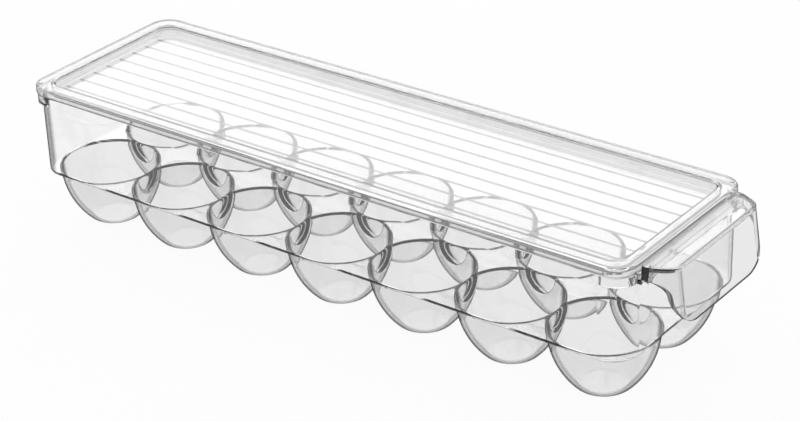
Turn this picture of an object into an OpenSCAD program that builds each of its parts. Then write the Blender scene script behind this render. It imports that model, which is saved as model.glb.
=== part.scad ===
// Clear egg keeper: a tray with two rows of seven cups and a pull handle,
// and a loose lid that rests on the tray's collar. Lengths are in millimetres.
// The origin is on the ground, in the middle of the whole object. +X points at the
// handle and +Z points up.

/* [Egg cups] */
// Cups in each row
cup_columns = 7; // [3:1:8]
// Rows of cups
cup_rows = 2; // [2:1:3]
// Distance between the centres of neighbouring cups
cup_pitch = 50; // [50:0.5:60]
// Inner radius of a cup where it opens in the floor
mouth_r = 24.5; // [22:0.1:24.9]
// Depth of a cup below the floor, inside
cup_depth = 29.4; // [24:0.2:34]
// Radius of the arc that draws the side of a cup, inside
bulge_r = 39.6; // [38:0.2:44]
// Radius that rounds a cup into its flat bottom, inside
bottom_round = 5; // [3:0.5:8]
// Thickness of a cup's shell
cup_wall = 1.6; // [1.2:0.1:2.2]

/* [Tray] */
// Height of the side walls above the floor
wall_height = 42.3; // [30:0.5:60]
// Thickness of the side walls
wall = 1.5; // [1.2:0.1:2.4]
// Thickness of the floor between the cups
floor_thickness = 1.6; // [1.2:0.1:2.2]
// Room between the cup mouths and the side walls
mouth_margin = 0.2; // [0.2:0.1:3]
// Inner radius of the upright corners
tray_corner_r = 12.2; // [10:0.2:18]
// Height of the collar that thickens the top of the walls
collar_height = 5.3; // [3:0.1:8]
// How far the collar stands out from the walls
collar_reach = 0.6; // [0.4:0.1:1.4]
// Outer radius of the collar's corners
collar_corner_r = 10.4; // [8:0.2:14]

/* [Handle] */
// Thickness of the handle's plate and apron
handle_wall = 2; // [1.6:0.1:2.6]
// How far the handle's plate reaches out from the lid's end
handle_reach = 15.7; // [13:0.1:22]
// Distance from the lid's long sides to the handle's sides
handle_setback = 8.7; // [8:0.1:14]
// Slant of the handle's two sides
handle_slant = 27; // [10:1:35]
// Outer radius of the plate's two corners
handle_corner_r = 5; // [4:0.5:8]
// Height of the handle's plate above the collar
handle_rise = 3.9; // [2.5:0.1:6]
// Depth of the apron below the top of the plate
apron_depth = 29.2; // [26:0.2:36]
// How far the apron leans out on its way down
apron_lean = 3.4; // [1:0.1:5]
// Height of the handle's upright edge where its sides leave the tray
side_band = 5.2; // [4:0.1:7]
// Distance from the handle's sides in to the apron's straight sides
apron_inset = 3.6; // [2:0.1:6]
// Radius of the two lower corners of the apron
apron_corner_r = 18; // [8:0.5:22]
// Radius of the hollow curve where the apron's sides widen to the plate
apron_flare_r = 6; // [4:0.5:8]

/* [Lid] */
// How far the lid stands out from the collar
lid_overhang = 0.4; // [0.2:0.1:1.5]
// Height of the lid's rim
rim_height = 4.6; // [3.6:0.1:7]
// Width of the lid's rim
rim_width = 7.8; // [6:0.1:12]
// Thickness of the lid
lid_wall = 1.7; // [1.3:0.1:2.2]
// Depth of the panel's top below the top of the rim
panel_drop = 4.4; // [3:0.1:5.4]
// Outer radius of the lid's corners
lid_corner_r = 10.7; // [9:0.1:14]
// Radius of the panel's corners
panel_corner_r = 7; // [5:0.2:12]
// Round along the rim's outer edge
rim_round = 1.2; // [0.6:0.1:1.5]
// Round where the rim turns down to the panel
rim_inner_round = 2.3; // [1.8:0.1:2.8]
// Gap between the lid's end and the handle
lid_gap = 0.8; // [0.5:0.1:1.5]

/* [Lid ribs] */
// Ribs along the underside of the panel
rib_count = 8; // [4:1:12]
// Width of a rib
rib_width = 0.9; // [0.6:0.1:1.5]
// Height of a rib
rib_height = 0.6; // [0.4:0.1:1]
// Distance from a rib's end to the panel's edge
rib_end_gap = 2.5; // [1.5:0.5:6]
// Radius of the two moulding marks on the rim
mark_r = 1.1; // [0.8:0.1:1.6]
// Height of the moulding marks
mark_height = 0.3; // [0.2:0.1:0.6]

/* [Hidden] */
$fn = 72;
// Small overlap between shapes of one piece, and past the faces that a cut goes through
eps = 0.01;

floor_z = cup_depth + cup_wall;
collar_top_z = floor_z + wall_height;
lid_top_z = collar_top_z + rim_height;
panel_top_z = lid_top_z - panel_drop;
handle_top_z = collar_top_z + handle_rise;

// Half sizes of the tray and the lid, length then width
mouth_half = [(cup_columns - 1) * cup_pitch / 2 + mouth_r, (cup_rows - 1) * cup_pitch / 2 + mouth_r];
inner_half = mouth_half + [mouth_margin, mouth_margin];
outer_half = inner_half + [wall, wall];
collar_half = outer_half + [collar_reach, collar_reach];
lid_half = collar_half + [lid_overhang, lid_overhang];
panel_half = lid_half - [rim_width, rim_width];
outer_corner_r = tray_corner_r + wall;

// The handle, measured from the middle of the tray
riser_x = lid_half[0] + lid_gap;
handle_end_x = lid_half[0] + handle_reach;
handle_half_width = lid_half[1] - handle_setback;
apron_top_z = handle_top_z - handle_wall;
apron_bottom_z = handle_top_z - apron_depth;
// The middle of the tray lies behind the middle of the whole object
tray_shift = -(handle_reach + apron_lean) / 2;

tray_tint = [0.93, 0.95, 0.96, 0.35];
lid_tint = [0.95, 0.96, 0.97, 0.3];

// Each cup is named by its row and its place in the row, counted from the plain end
cups = [for (j = [0 : cup_rows - 1], i = [0 : cup_columns - 1]) [i, j]];
cup_names = [for (c = cups) str("egg_cup_", chr(97 + c[1]), c[0] + 1)];

// A rectangle with round corners, centred, from its half sizes
module round_rect(half, r) {
    difference() {
        square(2 * half, center = true);
        for (sx = [-1, 1], sy = [-1, 1])
            translate([sx * (half[0] - r), sy * (half[1] - r)])
                difference() {
                    translate([sx > 0 ? 0 : -r - 1, sy > 0 ? 0 : -r - 1])
                        square(r + 1);
                    circle(r);
                }
    }
}

// An upright ring between two rounded rectangles
module ring(outer, outer_r, inner, inner_r, height) {
    linear_extrude(height)
        difference() {
            round_rect(outer, outer_r);
            round_rect(inner, inner_r);
        }
}

// Carries a profile round the four sides and corners of a rounded rectangle.
// The profile's x is the distance out from the path and its y is the height.
module carry_round(half, r) {
    straight = half - [r, r];
    for (side = [0 : 3]) {
        across = straight[side % 2];
        along = straight[(side + 1) % 2];
        rotate([0, 0, 90 * side])
            translate([across, 0, 0])
                rotate([90, 0, 0])
                    linear_extrude(2 * along, center = true)
                        translate([r, 0])
                            children();
        rotate([0, 0, 90 * side])
            translate([across, along, 0])
                rotate_extrude(angle = 90)
                    translate([r, 0])
                        children();
    }
}

// A cup's curve from its mouth, at height 0, down to the edge of its flat bottom.
// One arc draws the side and a small one rounds it into the bottom.
function cup_curve(r, depth, side_r, round_r) =
    let (
        side_x = r - side_r,
        meet_angle = asin((depth - round_r) / (side_r - round_r)),
        round_x = side_x + (side_r - round_r) * cos(meet_angle),
        side_steps = 12,
        round_steps = 5
    )
    concat(
        [for (k = [0 : side_steps])
            let (a = meet_angle * k / side_steps)
            [side_x + side_r * cos(a), -side_r * sin(a)]],
        [for (k = [1 : round_steps])
            let (a = meet_angle + (90 - meet_angle) * k / round_steps)
            [round_x + round_r * cos(a), round_r - depth - round_r * sin(a)]]
    );

module cup_hollow() {
    above = 1;
    rotate_extrude()
        polygon(concat([[0, above], [mouth_r, above]], cup_curve(mouth_r, cup_depth, bulge_r, bottom_round),
            [[0, -cup_depth]]));
}

module cup_shell() {
    depth = cup_depth + cup_wall;
    rotate_extrude()
        polygon(concat([[0, 0]], cup_curve(mouth_r + cup_wall, depth, bulge_r + cup_wall, bottom_round + cup_wall),
            [[0, -depth]]));
}

// One cup with its share of the floor, which ends half way to the next cup
// or at the tray's outer edge
module egg_cup(i, j) {
    place = [(i - (cup_columns - 1) / 2) * cup_pitch, (j - (cup_rows - 1) / 2) * cup_pitch];
    low = [
        i == 0 ? -outer_half[0] - 1 : place[0] - cup_pitch / 2,
        j == 0 ? -outer_half[1] - 1 : place[1] - cup_pitch / 2
    ];
    high = [
        i == cup_columns - 1 ? outer_half[0] + 1 : place[0] + cup_pitch / 2,
        j == cup_rows - 1 ? outer_half[1] + 1 : place[1] + cup_pitch / 2
    ];
    color(tray_tint)
        translate([tray_shift, 0, floor_z])
            difference() {
                intersection() {
                    union() {
                        translate([0, 0, -floor_thickness])
                            linear_extrude(floor_thickness)
                                round_rect(outer_half, outer_corner_r);
                        translate(place)
                            cup_shell();
                    }
                    translate([low[0], low[1], -floor_z - 1])
                        cube([high[0] - low[0], high[1] - low[1], floor_z + 2]);
                }
                translate(place)
                    cup_hollow();
            }
}

// The straight walls stand on the floor's edge and thicken into the collar
module tray_walls() {
    color(tray_tint)
        translate([tray_shift, 0, floor_z]) {
            ring(outer_half, outer_corner_r, inner_half, tray_corner_r, wall_height);
            translate([0, 0, wall_height - collar_height])
                ring(collar_half, collar_corner_r, inner_half, tray_corner_r, collar_height);
        }
}

// Outline of the handle seen from above, moved out from the plate's edge by grow
function handle_outline(grow, back_x) =
    let (
        r = handle_corner_r + grow,
        // the direction that the slanted side faces
        normal = [sin(handle_slant), cos(handle_slant)],
        corner_x = handle_end_x - handle_corner_r,
        corner_y = handle_half_width - ((corner_x - riser_x) * normal[0] + handle_corner_r) / normal[1],
        back_y = corner_y + ((corner_x - back_x) * normal[0] + r) / normal[1],
        steps = 8,
        corner = [for (k = [0 : steps])
            let (a = (90 - handle_slant) * (1 - k / steps))
            [corner_x + r * cos(a), corner_y + r * sin(a)]]
    )
    concat([[back_x, back_y]], corner, [for (k = [steps : -1 : 0]) [corner[k][0], -corner[k][1]]],
        [[back_x, -back_y]]);

// The apron's front view. Its sides come in from the plate on a hollow curve,
// drop straight and turn into the lower edge on a round one.
function apron_view() =
    let (
        side_y = handle_half_width - apron_inset,
        flare_z = handle_top_z - side_band - apron_flare_r,
        steps = 12,
        flare = [for (k = [0 : steps])
            let (a = 90 * (1 + k / steps))
            [side_y + apron_flare_r * (1 + cos(a)), flare_z + apron_flare_r * sin(a)]],
        corner = [for (k = [0 : steps])
            let (a = -90 * k / steps)
            [side_y - apron_corner_r * (1 - cos(a)), apron_bottom_z + apron_corner_r * (1 + sin(a))]],
        side = concat([[side_y + apron_flare_r, apron_top_z]], flare, corner)
    )
    concat(side, [for (k = [len(side) - 1 : -1 : 0]) [-side[k][0], side[k][1]]]);

// The plate that the fingers pull, the riser that lifts it above the collar,
// and the block that joins the riser to the collar
module handle_plate() {
    block_half_width = min(handle_half_width - handle_corner_r, collar_half[1] - collar_corner_r);
    color(tray_tint)
        translate([tray_shift, 0, 0]) {
            translate([0, 0, apron_top_z])
                linear_extrude(handle_wall)
                    polygon(handle_outline(0, riser_x));
            translate([0, 0, collar_top_z - collar_height])
                linear_extrude(handle_top_z - collar_top_z + collar_height)
                    intersection() {
                        polygon(handle_outline(0, riser_x));
                        translate([riser_x, -handle_half_width])
                            square([handle_wall, 2 * handle_half_width]);
                    }
            translate([collar_half[0], -block_half_width, collar_top_z - collar_height])
                cube([riser_x + eps - collar_half[0], 2 * block_half_width, collar_height]);
        }
}

// The apron hangs from the plate's edge, leans out on its way down,
// and leaves room for fingers behind it
module handle_apron() {
    apron_back_x = riser_x + handle_wall;
    color(tray_tint)
        translate([tray_shift, 0, 0])
            intersection() {
                difference() {
                    leaning_block(0, apron_lean, apron_back_x);
                    leaning_block(-handle_wall, apron_lean - handle_wall, apron_back_x - 1);
                }
                translate([apron_back_x, 0, 0])
                    rotate([90, 0, 90])
                        linear_extrude(handle_end_x - apron_back_x + 2 * apron_lean)
                            polygon(apron_view());
            }
}

// A block under the plate whose outline grows from one size to another
module leaning_block(top_grow, bottom_grow, back_x) {
    thin = 0.01;
    hull() {
        translate([0, 0, apron_top_z - thin])
            linear_extrude(thin)
                polygon(handle_outline(top_grow, back_x));
        translate([0, 0, apron_bottom_z])
            linear_extrude(thin)
                polygon(handle_outline(bottom_grow, back_x));
    }
}

// The rim's outer edge, a skirt with a round top
module skirt_profile() {
    translate([-lid_wall, collar_top_z])
        square([lid_wall, rim_height - rim_round]);
    translate([-lid_wall, lid_top_z - rim_round - eps])
        square([lid_wall - rim_round, rim_round + eps]);
    translate([-rim_round, lid_top_z - rim_round])
        intersection() {
            circle(rim_round);
            square(rim_round);
        }
}

// The wall that turns down from the rim to the panel, round at its top
module drop_profile() {
    difference() {
        translate([0, panel_top_z])
            square([rim_inner_round + lid_wall, panel_drop]);
        translate([0, lid_top_z - rim_inner_round])
            difference() {
                translate([-1, 0])
                    square([rim_inner_round + 1, rim_inner_round + 1]);
                translate([rim_inner_round, 0])
                    circle(rim_inner_round);
            }
        translate([lid_wall, panel_top_z - 1])
            square([rim_inner_round + 1, panel_drop + 1 - rim_inner_round]);
        translate([rim_inner_round + lid_wall, lid_top_z - rim_inner_round - lid_wall])
            circle(rim_inner_round);
    }
}

// Two marks where the moulding was fed, at opposite corners of the rim
module lid_marks() {
    inset = rim_width / 2 + 1;
    for (s = [-1, 1])
        translate([s * (lid_half[0] - inset), s * (lid_half[1] - inset), lid_top_z - eps])
            cylinder(r = mark_r, h = mark_height + eps);
}

// The rim rests on the tray's collar
module lid_rim() {
    web_half = lid_half - [rim_round, rim_round];
    drop_half = panel_half + [rim_inner_round, rim_inner_round];
    color(lid_tint)
        translate([tray_shift, 0, 0]) {
            carry_round(lid_half, lid_corner_r)
                skirt_profile();
            translate([0, 0, lid_top_z - lid_wall])
                ring(web_half, lid_corner_r - rim_round, drop_half, panel_corner_r + rim_inner_round, lid_wall);
            carry_round(panel_half, panel_corner_r)
                drop_profile();
            lid_marks();
        }
}

module lid_ribs() {
    spacing = 2 * panel_half[1] / (rib_count + 1);
    for (k = [1 : rib_count])
        translate([0, -panel_half[1] + k * spacing, -rib_height / 2 + eps])
            cube([2 * (panel_half[0] - rib_end_gap), rib_width, rib_height + eps], center = true);
}

// The panel lies lower than the rim, and reaches under the wall that drops to it
module lid_panel() {
    color(lid_tint)
        translate([tray_shift, 0, panel_top_z - lid_wall]) {
            linear_extrude(lid_wall)
                round_rect(panel_half + [lid_wall, lid_wall], panel_corner_r + lid_wall);
            lid_ribs();
        }
}

tray_walls();
handle_plate();
handle_apron();
lid_rim();
lid_panel();
for (k = [0 : len(cups) - 1])
    egg_cup(cups[k][0], cups[k][1]);
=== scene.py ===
from math import asin, cos, pi, radians, sin, sqrt

import bmesh
import bpy
from mathutils import Matrix, Vector


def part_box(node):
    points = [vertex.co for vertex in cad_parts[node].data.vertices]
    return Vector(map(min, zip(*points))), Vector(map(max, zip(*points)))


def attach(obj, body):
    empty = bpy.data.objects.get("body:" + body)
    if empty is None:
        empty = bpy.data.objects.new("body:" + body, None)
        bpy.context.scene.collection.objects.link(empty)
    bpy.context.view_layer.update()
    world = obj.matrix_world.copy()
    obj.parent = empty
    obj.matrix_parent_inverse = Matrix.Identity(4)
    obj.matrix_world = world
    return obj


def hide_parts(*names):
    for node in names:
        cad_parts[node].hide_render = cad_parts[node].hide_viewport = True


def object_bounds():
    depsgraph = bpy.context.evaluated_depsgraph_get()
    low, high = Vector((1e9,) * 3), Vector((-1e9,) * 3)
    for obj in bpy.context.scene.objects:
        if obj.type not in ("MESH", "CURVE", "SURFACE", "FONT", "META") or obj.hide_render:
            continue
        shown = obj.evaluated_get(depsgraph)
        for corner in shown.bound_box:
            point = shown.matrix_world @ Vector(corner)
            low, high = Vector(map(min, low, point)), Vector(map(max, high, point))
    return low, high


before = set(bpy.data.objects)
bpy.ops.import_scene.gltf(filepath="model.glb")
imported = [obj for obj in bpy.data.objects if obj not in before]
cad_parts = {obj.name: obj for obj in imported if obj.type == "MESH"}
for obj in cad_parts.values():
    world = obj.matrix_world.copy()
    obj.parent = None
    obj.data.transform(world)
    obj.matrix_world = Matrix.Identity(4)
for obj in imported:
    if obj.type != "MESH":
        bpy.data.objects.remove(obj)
cad_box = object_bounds()

MM = 0.001

# Places read from the frame, in metres
walls_low, walls_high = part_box("tray_walls")
rim_low, rim_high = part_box("lid_rim")
panel_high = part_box("lid_panel")[1]
plate_low, plate_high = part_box("handle_plate")
apron_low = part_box("handle_apron")[0]
cup_low, cup_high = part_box("egg_cup_a2")

cup_nodes = sorted(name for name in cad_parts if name.startswith("egg_cup_"))
cup_rows = len({name[len("egg_cup_")] for name in cup_nodes})
cup_columns = len(cup_nodes) // cup_rows
cup_pitch = cup_high[0] - cup_low[0]
mid_x = (rim_low[0] + rim_high[0]) / 2

# Cups
mouth_r = 24.5 * MM
cup_wall = 1.6 * MM
bulge_r = 39.6 * MM
bottom_round = 5 * MM
mouth_round = 1.5 * MM
cup_top_drop = 0.4 * MM
seam_round = 0.5 * MM
seam_half_width = 0.7 * MM
seam_edge_round = 0.56 * MM

# Tray
floor_thickness = 1.6 * MM
wall = 1.5 * MM
tray_corner_r = 12.2 * MM
base_round = 1.4 * MM
collar_height = 5.3 * MM
collar_reach = 0.6 * MM
collar_corner_r = 10.4 * MM
groove_round = 0.6 * MM

# Lid
rim_width = 7.8 * MM
rim_round = 1.2 * MM
rim_inner_round = 0.9 * MM
lid_wall = 1.7 * MM
lid_low_round = 0.8 * MM
lid_fillet = 0.6 * MM
lid_corner_r = 10.7 * MM
lid_gap = 0.02 * MM
panel_corner_r = 7 * MM
rib_count = 8
rib_width = 0.9 * MM
rib_height = 0.6 * MM
rib_corner_r = 0.432 * MM
rib_round = 0.25 * MM
rib_root = 0.3 * MM
rib_end_gap = 2.5 * MM
mark_r = 1.1 * MM
mark_height = 0.3 * MM
mark_root = 0.2 * MM
mark_offset = 1 * MM

# Handle
handle_wall = 2 * MM
handle_slant = radians(27)
handle_corner_r = 8.5 * MM
handle_end_round = 2.5 * MM
plate_round = 0.8 * MM
apron_lean = 3.4 * MM
side_band = 5.2 * MM
apron_inset = 6.5 * MM
apron_corner_r = 15 * MM
apron_flare_r = 9 * MM
join_thickness = 2.6 * MM
join_lift = 0.01 * MM

# Small rounds, and a step that keeps two faces out of one plane
edge_round = 0.3 * MM
crisp_round = 0.1 * MM
hair = 0.05 * MM
tiny = 0.001 * MM

# How far the working shapes reach past what they cut or join
past = 1 * MM
past_edge = 2 * MM
past_plate = 5 * MM
well_past = 10 * MM
far_past = 20 * MM

# Shade groups: how pale each one is, and how much sooner the painted edge shade starts where it
# is seen along itself
# PLAIN and CORNER keep the plastic's faint tint; in the other groups the paleness is painted
# shade on cut edges, handle, cup mouths, cups, rim sides, the rim's lower edge and ribs
PLAIN, CUT_EDGE, HANDLE, CORNER, MOUTH, CUP, RIM_SIDE, RIM_LOW, RIB = range(9)
tints_and_painted_shades = {
    PLAIN: 0.985, CUT_EDGE: 0.05, HANDLE: 0.84, CORNER: 0.985, MOUTH: 0.3, CUP: 0.88,
    RIM_SIDE: 0.78, RIM_LOW: 0.15, RIB: 0.42}
painted_edge_leads = {CORNER: 0.18}

# How a face's normal tells which shade group it takes
facing_across = 0.5
facing_aside = 0.7
facing_low = (-0.95, -0.3)
facing_level = 0.05

# Plastic
plastic_ior = 1.5
# Painted edge shade: a dark coat whose weight rises where the plastic is seen along its surface
painted_edge_shade = 0.7
painted_edge_shade_stops = ((0.62, 0), (0.78, 0.85), (1, 1))
smear_scale = 60
smear_detail = 4
roughest = 0.04

# Floor, sky and lamp
floor_half_size = 1.5
floor_grey = 0.9
floor_glow_share = 0.95
sky_grey = 0.8
lamp_length, lamp_width = 1.6, 1.2
lamp_radiance = 1.13
lamp_yaw, lamp_pitch = -0.66, 0.484
lamp_distance = 1.5

floor_z = walls_low[2]
cup_depth = floor_z - cup_wall
collar_top_z = walls_high[2]
lid_top_z = rim_high[2] - mark_height
panel_top_z = panel_high[2]
handle_top_z = plate_high[2]
plate_under_z = handle_top_z - handle_wall
apron_bottom_z = apron_low[2]


def half_size(low, high):
    """Half of a box's length and width."""
    return Vector(((high[0] - low[0]) / 2, (high[1] - low[1]) / 2))


def grown(half, by):
    """A half length and half width, each longer by the same."""
    return Vector((half.x + by, half.y + by))


lid_half = half_size(rim_low, rim_high)
collar_half = half_size(walls_low, walls_high)
outer_half = grown(collar_half, -collar_reach)
inner_half = grown(outer_half, -wall)
panel_half = grown(lid_half, -rim_width)
riser_x = apron_low[0] - handle_wall
handle_end_x = plate_high[0]
handle_half_width = (plate_high[1] - plate_low[1]) / 2

# Holds the shade groups' places on the working shapes, until a piece is dressed
carrier = bpy.data.materials.new("shade_group_carrier")


def into_scene(name, data):
    """A new object in the scene."""
    thing = bpy.data.objects.new(name, data)
    bpy.context.scene.collection.objects.link(thing)
    return thing


def shape(name, bm, shade_group=PLAIN):
    """A working object from a bmesh, merged, facing outwards and in one of the shade groups."""
    for face in bm.faces:
        face.material_index = shade_group
    mesh = bpy.data.meshes.new(name)
    for _ in tints_and_painted_shades:
        mesh.materials.append(carrier)
    bmesh.ops.remove_doubles(bm, verts=bm.verts, dist=tiny)
    bmesh.ops.recalc_face_normals(bm, faces=bm.faces)
    bm.to_mesh(mesh)
    bm.free()
    return into_scene(name, mesh)


def put_in_shade_group(piece, shade_group, picked):
    """Puts the faces that are picked by their normal and centre into another shade group, which
    may carry painted shade.
    """
    for face in piece.data.polygons:
        if picked(face.normal, face.center):
            face.material_index = shade_group


def combined(name, base, steps):
    """Applies union, difference and intersect steps to a shape, as one new object."""
    for operation, tool in steps:
        change = base.modifiers.new(operation.lower(), "BOOLEAN")
        change.operation = operation
        change.solver = "MANIFOLD"
        change.object = tool
    bpy.context.view_layer.update()
    evaluated = base.evaluated_get(bpy.context.evaluated_depsgraph_get())
    mesh = bpy.data.meshes.new_from_object(evaluated)
    mesh.name = name
    result = into_scene(name, mesh)
    for used in (base, *(tool for _, tool in steps)):
        old = used.data
        bpy.data.objects.remove(used)
        bpy.data.meshes.remove(old)
    return result


def smooth(piece, angle=radians(35)):
    """Smooth shading that stays crisp where faces meet at more than the angle."""
    piece.data.shade_smooth()
    piece.data.set_sharp_from_angle(angle=angle)
    weighted = piece.modifiers.new("weighted normals", "WEIGHTED_NORMAL")
    weighted.keep_sharp = True
    weighted.weight = 100


def turns(first, last, steps):
    """Angles from the first to the last, in even steps."""
    return [first + (last - first) * k / steps for k in range(steps + 1)]


def bevel(bm, edges, width, segments=4):
    bmesh.ops.bevel(
        bm, geom=edges, offset=width, offset_type="OFFSET", segments=segments,
        profile=0.5, affect="EDGES", clamp_overlap=False, material=-1)


def level_edges(bm, z):
    """The edges that lie all at one height."""
    return [e for e in bm.edges if all(abs(v.co.z - z) < tiny for v in e.verts)]


def block(half, r, z0, z1, low_round=0.0, top_round=0.0, corner_steps=12, centre=(mid_x, 0)):
    """A block with round upright corners and, if asked, round edges below and above."""
    bm = bmesh.new()
    bmesh.ops.create_cube(bm, size=2)
    bmesh.ops.scale(bm, vec=(half.x, half.y, (z1 - z0) / 2), verts=bm.verts)
    bmesh.ops.translate(bm, vec=(centre[0], centre[1], (z0 + z1) / 2), verts=bm.verts)
    if r:
        upright = [e for e in bm.edges if abs(e.verts[0].co.z - e.verts[1].co.z) > tiny]
        bevel(bm, upright, r, corner_steps)
    if low_round:
        bevel(bm, level_edges(bm, z0), low_round)
    if top_round:
        bevel(bm, level_edges(bm, z1), top_round)
    return bm


def spun(points, centre, steps=72):
    """Spins an outline of (radius, height) about an upright axis."""
    bm = bmesh.new()
    verts = [bm.verts.new((centre[0] + r, centre[1], z)) for r, z in points]
    edges = [bm.edges.new(pair) for pair in zip(verts, verts[1:])]
    bmesh.ops.spin(
        bm, geom=verts + edges, cent=(centre[0], centre[1], 0), axis=(0, 0, 1), dvec=(0, 0, 0),
        angle=2 * pi, steps=steps, use_merge=True, use_duplicate=False)
    return bm


def extruded(outline, by):
    """A closed block from a flat outline that is carried along."""
    bm = bmesh.new()
    face = bm.faces.new([bm.verts.new(place) for place in outline])
    moved = bmesh.ops.extrude_face_region(bm, geom=[face])["geom"]
    bmesh.ops.translate(bm, vec=by, verts=[g for g in moved if isinstance(g, bmesh.types.BMVert)])
    return bm


def lofted(levels):
    """A closed block through outlines of as many points each, given as (outline, height)."""
    bm = bmesh.new()
    loops = [[bm.verts.new((x, y, z)) for x, y in outline] for outline, z in levels]
    for loop, above in zip(loops, loops[1:]):
        for k in range(len(loop)):
            bm.faces.new((loop[k - 1], loop[k], above[k], above[k - 1]))
    bm.faces.new(loops[0])
    bm.faces.new(loops[-1])
    return bm


def cup_place(column, row):
    """The middle of a cup, or between two cups where a half is added."""
    return (
        mid_x + (column - (cup_columns - 1) / 2) * cup_pitch,
        (row - (cup_rows - 1) / 2) * cup_pitch)


def cup_places():
    """The middles of the cups, row by row."""
    return [cup_place(column, row) for row in range(cup_rows) for column in range(cup_columns)]


def seam_places():
    """The middles between neighbouring cups, and whether the cups lie across the tray."""
    for row in range(cup_rows):
        for column in range(cup_columns):
            if column + 1 < cup_columns:
                yield cup_place(column + 0.5, row), False
            if row + 1 < cup_rows:
                yield cup_place(column, row + 0.5), True


def cup_curve(r, depth, side_r, round_r, side_steps=14, round_steps=5):
    """A cup's curve from its mouth, at height 0, to the edge of its flat bottom."""
    side_x = r - side_r
    meet = asin((depth - round_r) / (side_r - round_r))
    round_x = side_x + (side_r - round_r) * cos(meet)
    side = turns(0, meet, side_steps)
    bottom = turns(meet, pi / 2, round_steps)[1:]
    return (
        [(side_x + side_r * cos(a), -side_r * sin(a)) for a in side]
        + [(round_x + round_r * cos(a), round_r - depth - round_r * sin(a)) for a in bottom])


def cup_shell(place):
    """The solid outer shape of a cup, whose flat top lies inside the floor."""
    top_z = floor_z - cup_top_drop
    curve = cup_curve(
        mouth_r + cup_wall, cup_depth + cup_wall, bulge_r + cup_wall, bottom_round + cup_wall)
    points = [(r, floor_z + z) for r, z in curve if floor_z + z < top_z - tiny]
    return spun([(0, top_z), (curve[0][0], top_z), *points, (0, points[-1][1])], place)


def cup_hollow(place):
    """The space inside a cup, which widens round its mouth."""
    flare = [
        (mouth_r + mouth_round * (1 - cos(a)), floor_z - mouth_round * (1 - sin(a)))
        for a in turns(pi / 2, 0, 4)[:-1]]
    curve = [(r, floor_z + z) for r, z in cup_curve(mouth_r, cup_depth, bulge_r, bottom_round)]
    points = [p for p in curve if p[1] < floor_z - mouth_round - tiny]
    top = [(0, floor_z + hair), (flare[0][0], floor_z + hair)]
    return spun([*top, *flare, *points, (0, points[-1][1])], place)


def seam_bead(place, across, steps=20):
    """Rounds the seam below two fused cups: a thin disc in the plane midway between them."""
    r, side_r = mouth_r + cup_wall + seam_round, bulge_r + cup_wall
    half_pitch = cup_pitch / 2
    deepest = sqrt(side_r ** 2 - (half_pitch - r + side_r) ** 2)
    side = []
    for a in turns(-pi / 2, 0, steps)[:-1]:
        down = deepest * cos(a)
        out = sqrt(max((r - side_r + sqrt(side_r ** 2 - down ** 2)) ** 2 - half_pitch ** 2, 0))
        side.append((out, floor_z - max(down, cup_top_drop)))
    outline = [(-y, z) for y, z in side] + [(0, floor_z - deepest)] + side[::-1]
    bm = extruded([(-seam_half_width, y, z) for y, z in outline], (2 * seam_half_width, 0, 0))
    rims = [e for e in bm.edges if abs(e.verts[0].co.x - e.verts[1].co.x) < tiny]
    bevel(bm, rims, seam_edge_round)
    if across:
        quarter = Matrix.Rotation(pi / 2, 3, "Z")
        bmesh.ops.rotate(bm, cent=(0, 0, 0), matrix=quarter, verts=bm.verts)
    bmesh.ops.translate(bm, vec=(*place, 0), verts=bm.verts)
    return bm


def handle_outline(grow, back_x, steps=8):
    """The handle's outline from above, from its back on one side to its back on the other."""
    r = handle_corner_r + grow
    corner_x = handle_end_x - handle_corner_r
    facing = Vector((sin(handle_slant), cos(handle_slant)))
    corner_y = handle_half_width - ((corner_x - riser_x) * facing.x + handle_corner_r) / facing.y
    end_x = back_x + handle_end_round
    end_y = corner_y + ((corner_x - end_x) * facing.x + r - handle_end_round) / facing.y
    side = [
        (end_x + handle_end_round * cos(a), end_y + handle_end_round * sin(a))
        for a in turns(pi, pi / 2 - handle_slant, steps)]
    side += [
        (corner_x + r * cos(a), corner_y + r * sin(a))
        for a in turns(pi / 2 - handle_slant, 0, steps)]
    return side + [(x, -y) for x, y in reversed(side)]


def handle_block(grow, top_z, back_x, top_round=crisp_round):
    """The handle's block, grown or shrunk, with a round top edge and sides that lean out."""
    low_z = apron_bottom_z - past_edge
    lean = apron_lean / (plate_under_z - apron_bottom_z)
    shoulder_z = min(plate_under_z, top_z - top_round - crisp_round)
    levels = [(grow + lean * (plate_under_z - z), z) for z in (low_z, shoulder_z)]
    for a in turns(0, pi / 2, 5):
        z = top_z - top_round * (1 - sin(a))
        levels.append((grow + lean * max(plate_under_z - z, 0) - top_round * (1 - cos(a)), z))
    return lofted([(handle_outline(out, back_x), z) for out, z in levels])


def apron_view(steps=16):
    """The handle seen from its front: hollow curves under the plate, round lower corners."""
    side_y = handle_half_width - apron_inset
    wide_y = side_y + apron_flare_r * 2
    flare_z = handle_top_z - side_band - apron_flare_r
    side = [(wide_y, handle_top_z + past_plate), (wide_y, flare_z + apron_flare_r)]
    side += [
        (side_y + apron_flare_r * (1 + cos(a)), flare_z + apron_flare_r * sin(a))
        for a in turns(pi / 2, pi, steps)]
    side += [
        (side_y - apron_corner_r * (1 - cos(a)), apron_bottom_z + apron_corner_r * (1 + sin(a)))
        for a in turns(0, -pi / 2, steps)]
    return side + [(-y, z) for y, z in reversed(side)]


def plate_side(normal, centre):
    """Whether a face is on the side edge of the handle's plate."""
    return abs(normal.y) > facing_across and centre.z > plate_under_z


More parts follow.
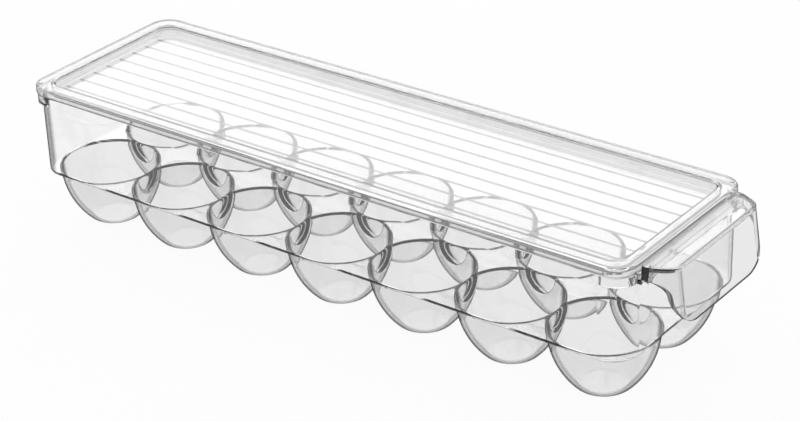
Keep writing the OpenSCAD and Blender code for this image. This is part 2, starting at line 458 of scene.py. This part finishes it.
def handle():
    """Plate, riser and apron as one shell, with two flanges back to the collar."""
    collar_x = mid_x + collar_half.x
    cut_low_z = apron_bottom_z - well_past
    cut_half = Vector((2 * far_past, handle_half_width + far_past))
    # The handle's faces get painted shade in their colour, and the plate's side edges a
    # near-black painted shade
    outer = shape("handle_outer", handle_block(0, handle_top_z, riser_x, plate_round), HANDLE)
    put_in_shade_group(outer, CUT_EDGE, plate_side)
    inner = shape("handle_inner", handle_block(
        -handle_wall, plate_under_z, riser_x + handle_wall, plate_round), HANDLE)
    flange_outer = shape("flange_outer", handle_block(
        0, collar_top_z - hair, collar_x - past), HANDLE)
    flange_inner = shape("flange_inner", handle_block(
        -handle_wall, collar_top_z + past, collar_x - far_past), HANDLE)
    front = shape("flange_front", block(
        cut_half, 0, cut_low_z, handle_top_z + past,
        centre=(riser_x + handle_wall / 2 + cut_half.x, 0)))
    flanges = combined(
        "flange", flange_outer, [("DIFFERENCE", flange_inner), ("DIFFERENCE", front)])
    # The apron's cut edges, from this view shape, get a near-black painted shade
    view = shape("handle_view", extruded(
        [(riser_x - far_past, y, z) for y, z in apron_view()], (3 * far_past, 0, 0)), CUT_EDGE)
    below = shape("handle_below", block(
        cut_half, 0, cut_low_z, collar_top_z - collar_height,
        centre=(riser_x + handle_wall - cut_half.x, 0)))
    join_half = Vector(((riser_x - collar_x) / 2 + past, collar_half.y - collar_corner_r))
    join_low_z = collar_top_z - collar_height + join_lift
    join = shape("handle_join", block(
        join_half, 0, join_low_z, join_low_z + join_thickness,
        centre=((riser_x + collar_x) / 2, 0)))
    return combined("handle", outer, [
        ("DIFFERENCE", inner), ("UNION", flanges), ("INTERSECT", view), ("DIFFERENCE", below),
        ("UNION", join)])


def far_corner(normal, centre):
    """Whether a face bends round an upright corner of the end away from the handle."""
    turned = min(abs(normal.x), abs(normal.y))
    return centre.x < mid_x and turned > facing_level > abs(normal.z)


def tray():
    """The whole tray as one unbroken moulding."""
    base = shape("tray_block", block(
        outer_half, tray_corner_r + wall, floor_z - floor_thickness, collar_top_z - groove_round,
        low_round=base_round))
    collar = shape("tray_collar", block(
        collar_half, collar_corner_r, collar_top_z - collar_height, collar_top_z,
        low_round=edge_round, top_round=groove_round))
    inside = shape("tray_inside", block(
        inner_half, tray_corner_r, floor_z, collar_top_z + well_past))
    # The upright corners at the end away from the handle get an earlier painted edge shade
    for walls in (base, inside):
        put_in_shade_group(walls, CORNER, far_corner)
    # The cups get painted shade in their colour, and their mouths a dark painted shade ring
    hollows = [shape("cup_hollow", cup_hollow(place), CUP) for place in cup_places()]
    for hollow in hollows:
        put_in_shade_group(hollow, MOUTH, lambda normal, centre: floor_z - mouth_round < centre.z < floor_z)
    steps = [("UNION", collar), ("UNION", handle())]
    steps += [("UNION", shape("cup_shell", cup_shell(place), CUP)) for place in cup_places()]
    steps += [("UNION", shape("seam_bead", seam_bead(*seam), CUP)) for seam in seam_places()]
    steps += [("DIFFERENCE", tool) for tool in (inside, *hollows)]
    piece = combined("tray", base, steps)
    smooth(piece)
    return piece


def round_outline(half, r, steps=12):
    """A rectangle with round corners, from its half sizes."""
    points = []
    for quarter, (sx, sy) in enumerate(((1, 1), (-1, 1), (-1, -1), (1, -1))):
        points += [
            (mid_x + sx * (half.x - r) + r * cos(a), sy * (half.y - r) + r * sin(a))
            for a in turns(pi / 2 * quarter, pi / 2 * (quarter + 1), steps)]
    return points


def panel_block(levels):
    """A block over the panel's outline, through levels of (how far it is grown, height)."""
    return lofted([
        (round_outline(grown(panel_half, grow), panel_corner_r + grow), z) for grow, z in levels])


def recess():
    """The space above the lid's panel, which widens round its upper edge."""
    levels = [
        (rim_inner_round * (1 - cos(a)), lid_top_z - rim_inner_round * (1 - sin(a)))
        for a in turns(0, pi / 2, 6)]
    return panel_block([(0, panel_top_z), *levels, (rim_inner_round, lid_top_z + past_edge)])


def lid_middle():
    """The panel and the wall round it, which widens where it meets the rim's underside."""
    low_z, high_z = panel_top_z - lid_wall, lid_top_z - lid_wall
    quarter = turns(0, pi / 2, 4)
    below = [
        (lid_wall - lid_low_round * (1 - sin(a)), low_z + lid_low_round * (1 - cos(a)))
        for a in quarter]
    above = [
        (lid_wall + lid_fillet * (1 - cos(a)), high_z - lid_fillet * (1 - sin(a)))
        for a in quarter]
    return panel_block([*below, *above, (lid_wall + lid_fillet, high_z + lid_wall / 2)])


def rib(y):
    """A rib on the panel's underside, with a rounded tip."""
    half = Vector((panel_half.x - rib_end_gap, rib_width / 2))
    low_z = panel_top_z - lid_wall - rib_height
    return block(
        half, rib_corner_r, low_z, low_z + rib_height + rib_root, low_round=rib_round,
        corner_steps=6, centre=(mid_x, y))


def mark(s):
    """A small round moulding mark on the rim, at one of two opposite corners."""
    inset = rim_width / 2 + mark_offset
    low, top = lid_top_z - mark_root, lid_top_z + mark_height
    outline = [
        (0, low), (mark_r, low), (mark_r, top - crisp_round), (mark_r - crisp_round, top),
        (0, top)]
    return spun(outline, (mid_x + s * (lid_half.x - inset), s * (lid_half.y - inset)), steps=24)


def lid():
    """The whole lid as one unbroken moulding."""
    base = shape("lid_block", block(
        lid_half, lid_corner_r, collar_top_z + lid_gap, lid_top_z, low_round=groove_round,
        top_round=rim_round))
    # The rim's sides get painted shade, and its rounded lower edge a dark painted shadow line
    put_in_shade_group(base, RIM_SIDE, lambda normal, centre: abs(normal.z) < facing_aside)
    put_in_shade_group(base, RIM_LOW, lambda normal, centre: facing_low[0] < normal.z < facing_low[1])
    under = shape("lid_under", block(
        grown(lid_half, -lid_wall), lid_corner_r - lid_wall, collar_top_z - past,
        lid_top_z - lid_wall, top_round=lid_fillet))
    middle = shape("lid_middle", lid_middle())
    steps = [("DIFFERENCE", under), ("UNION", middle), ("DIFFERENCE", shape("recess", recess()))]
    spacing = 2 * panel_half.y / (rib_count + 1)
    # The ribs get painted shade in their colour
    for k in range(rib_count):
        steps.append(("UNION", shape("rib", rib(-panel_half.y + (k + 1) * spacing), RIB)))
    steps += [("UNION", shape("mark", mark(s))) for s in (-1, 1)]
    piece = combined("lid", base, steps)
    smooth(piece)
    return piece


def face_value(nodes, name):
    """The value that each face carries under a name."""
    attribute = nodes.new("ShaderNodeAttribute")
    attribute.attribute_name = name
    return attribute.outputs["Fac"]


def worked_out(nodes, links, operation, first, second):
    """Two values put together by a Math node."""
    node = nodes.new("ShaderNodeMath")
    node.operation = operation
    links.new(first, node.inputs[0])
    links.new(second, node.inputs[1])
    return node.outputs[0]


def clear_plastic(name, clearness, absorption):
    """Clear, colourless moulded plastic, with painted shade from a dark coat where it is seen
    along its surface.
    Its faces carry their painted shade or plain tint in the base colour, and how much sooner the
    painted edge shade starts."""
    material = bpy.data.materials.new(name)
    material.use_nodes = True
    nodes, links = material.node_tree.nodes, material.node_tree.links
    shader = nodes["Principled BSDF"]
    shader.inputs["IOR"].default_value = plastic_ior
    shader.inputs["Transmission Weight"].default_value = clearness
    # A dark coat with no reflection of its own, which lays painted shade where its weight rises
    shader.inputs["Coat IOR"].default_value = 1.0
    shader.inputs["Coat Roughness"].default_value = 0.0
    shader.inputs["Coat Tint"].default_value = (painted_edge_shade, painted_edge_shade, painted_edge_shade, 1)
    # Base colour from each face's shade group: painted shade, or the plain faint tint
    links.new(face_value(nodes, "shade"), shader.inputs["Base Color"])

    volume = nodes.new("ShaderNodeVolumeAbsorption")
    volume.inputs["Color"].default_value = (0, 0, 0, 1)
    volume.inputs["Density"].default_value = absorption
    links.new(volume.outputs["Volume"], nodes["Material Output"].inputs["Volume"])

    # Painted edge shade: the coat's weight rises as the surface turns from the view, sooner on
    # faces with an edge lead
    facing = nodes.new("ShaderNodeLayerWeight")
    facing.inputs["Blend"].default_value = 0.5
    edge = nodes.new("ShaderNodeValToRGB")
    elements = edge.color_ramp.elements
    while len(elements) < len(painted_edge_shade_stops):
        elements.new(0.5)
    for element, (position, weight) in zip(elements, painted_edge_shade_stops):
        element.position = position
        element.color = (weight, weight, weight, 1)
    turned = worked_out(nodes, links, "ADD", facing.outputs["Facing"], face_value(nodes, "edge"))
    links.new(turned, edge.inputs["Fac"])
    links.new(edge.outputs["Color"], shader.inputs["Coat Weight"])

    place = nodes.new("ShaderNodeTexCoord")
    mapping = nodes.new("ShaderNodeMapping")
    mapping.inputs["Location"].default_value = (-mid_x, 0, 0)
    links.new(place.outputs["Object"], mapping.inputs["Vector"])
    smear = nodes.new("ShaderNodeTexNoise")
    smear.inputs["Scale"].default_value = smear_scale
    smear.inputs["Detail"].default_value = smear_detail
    links.new(mapping.outputs["Vector"], smear.inputs["Vector"])
    rough = nodes.new("ShaderNodeMapRange")
    rough.inputs["To Min"].default_value = 0.0
    rough.inputs["To Max"].default_value = roughest
    links.new(smear.outputs["Fac"], rough.inputs["Value"])
    links.new(rough.outputs["Result"], shader.inputs["Roughness"])
    return material


def dress(piece, material, body, nodes):
    """Gives a piece its plastic and its faces their painted shade and edge leads, and says what
    it stands for.
    """
    mesh = piece.data
    shade_groups = [face.material_index for face in mesh.polygons]
    # Each face's painted shade (or plain tint) and painted edge lead, as face values
    for name, values in (("shade", tints_and_painted_shades), ("edge", painted_edge_leads)):
        attribute = mesh.attributes.new(name, "FLOAT", "FACE")
        attribute.data.foreach_set("value", [values.get(shade_group, 0) for shade_group in shade_groups])
    mesh.materials.clear()
    mesh.materials.append(material)
    mesh.polygons.foreach_set("material_index", [0] * len(shade_groups))
    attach(piece, body)
    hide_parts(*nodes)


def background_rays(nodes, links):
    """1 for the rays that show the background: from the camera, off gloss and through glass."""
    rays = nodes.new("ShaderNodeLightPath")
    shown = rays.outputs["Is Camera Ray"]
    for kind in ("Is Glossy Ray", "Is Transmission Ray"):
        shown = worked_out(nodes, links, "MAXIMUM", shown, rays.outputs[kind])
    return shown


def split_surface(nodes, links, share, lit, shown, output):
    """Shows one shader as the background and keeps another as what lights the object."""
    mix = nodes.new("ShaderNodeMixShader")
    links.new(share, mix.inputs["Fac"])
    links.new(lit.outputs[0], mix.inputs[1])
    links.new(shown.outputs[0], mix.inputs[2])
    links.new(mix.outputs[0], output.inputs["Surface"])


def floor_material():
    """Pale floor that reads white as a background and keeps a light shadow."""
    material = bpy.data.materials.new("pale_floor")
    material.use_nodes = True
    nodes, links = material.node_tree.nodes, material.node_tree.links
    nodes.clear()
    paint = nodes.new("ShaderNodeBsdfDiffuse")
    paint.inputs["Color"].default_value = (floor_grey, floor_grey, floor_grey, 1)
    glow = nodes.new("ShaderNodeEmission")
    glow.inputs["Color"].default_value = (1, 1, 1, 1)
    glow.inputs["Strength"].default_value = 1
    share = nodes.new("ShaderNodeMath")
    share.operation = "MULTIPLY"
    share.inputs[1].default_value = floor_glow_share
    links.new(background_rays(nodes, links), share.inputs[0])
    output = nodes.new("ShaderNodeOutputMaterial")
    split_surface(nodes, links, share.outputs[0], paint, glow, output)
    return material


def studio():
    """Pale floor and an even sky, white as a background and a little dimmer as a light."""
    bm = bmesh.new()
    bmesh.ops.create_grid(bm, x_segments=1, y_segments=1, size=floor_half_size)
    mesh = bpy.data.meshes.new("floor")
    bm.to_mesh(mesh)
    bm.free()
    mesh.materials.append(floor_material())
    ground = into_scene("floor", mesh)
    ground.location.z = cad_box[0][2]

    world = bpy.data.worlds.new("studio")
    bpy.context.scene.world = world
    world.use_nodes = True
    nodes, links = world.node_tree.nodes, world.node_tree.links
    nodes.clear()
    white = nodes.new("ShaderNodeBackground")
    white.inputs["Color"].default_value = (1, 1, 1, 1)
    sky = nodes.new("ShaderNodeBackground")
    sky.inputs["Color"].default_value = (sky_grey, sky_grey, sky_grey, 1)
    output = nodes.new("ShaderNodeOutputWorld")
    split_surface(nodes, links, background_rays(nodes, links), sky, white, output)


def softbox():
    """A broad lamp high behind the object, whose reflection brightens the lid."""
    lamp = bpy.data.lights.new("softbox", "AREA")
    lamp.shape = "RECTANGLE"
    lamp.size, lamp.size_y = lamp_length, lamp_width
    lamp.energy = lamp_radiance * pi * lamp_length * lamp_width
    level = cos(lamp_pitch)
    ahead = Vector((sin(lamp_yaw) * level, cos(lamp_yaw) * level, sin(lamp_pitch)))
    holder = into_scene("softbox", lamp)
    holder.location = Vector((mid_x, 0, lid_top_z)) + lamp_distance * ahead
    holder.rotation_euler = ahead.to_track_quat("Z", "Y").to_euler()
    holder.visible_camera = False


def camera():
    """The photograph's view: its direction, distance, lens and slight roll."""
    yaw, pitch, roll = -0.6593, 0.4844, -0.0367
    distance = 1140.1 * MM
    aim = Vector((mid_x + 8.3 * MM, 12.3 * MM, floor_z))
    focal_pixels = 2322.4
    image_width = 800
    ahead = Vector((cos(pitch) * sin(yaw), cos(pitch) * cos(yaw), -sin(pitch)))
    level = Vector((cos(yaw), -sin(yaw), 0))
    up = level.cross(ahead)
    right = cos(roll) * level + sin(roll) * up
    upright = cos(roll) * up - sin(roll) * level
    data = bpy.data.cameras.new("camera")
    data.sensor_fit = "HORIZONTAL"
    data.sensor_width = 36
    data.lens = focal_pixels * data.sensor_width / image_width
    data.clip_start = 0.01
    viewer = into_scene("camera", data)
    turn = Matrix((right, upright, -ahead)).transposed().to_4x4()
    viewer.matrix_world = Matrix.Translation(aim - distance * ahead) @ turn
    bpy.context.scene.camera = viewer


camera()
studio()
softbox()
dress(
    tray(), clear_plastic("clear_tray_plastic", clearness=1.0, absorption=15),
    "tray", ["tray_walls", "handle_plate", "handle_apron", *cup_nodes])
dress(
    lid(), clear_plastic("clear_lid_plastic", clearness=0.87, absorption=6),
    "lid", ["lid_rim", "lid_panel"])
bpy.data.materials.remove(carrier)

bpy.context.scene.view_settings.view_transform = "Standard"
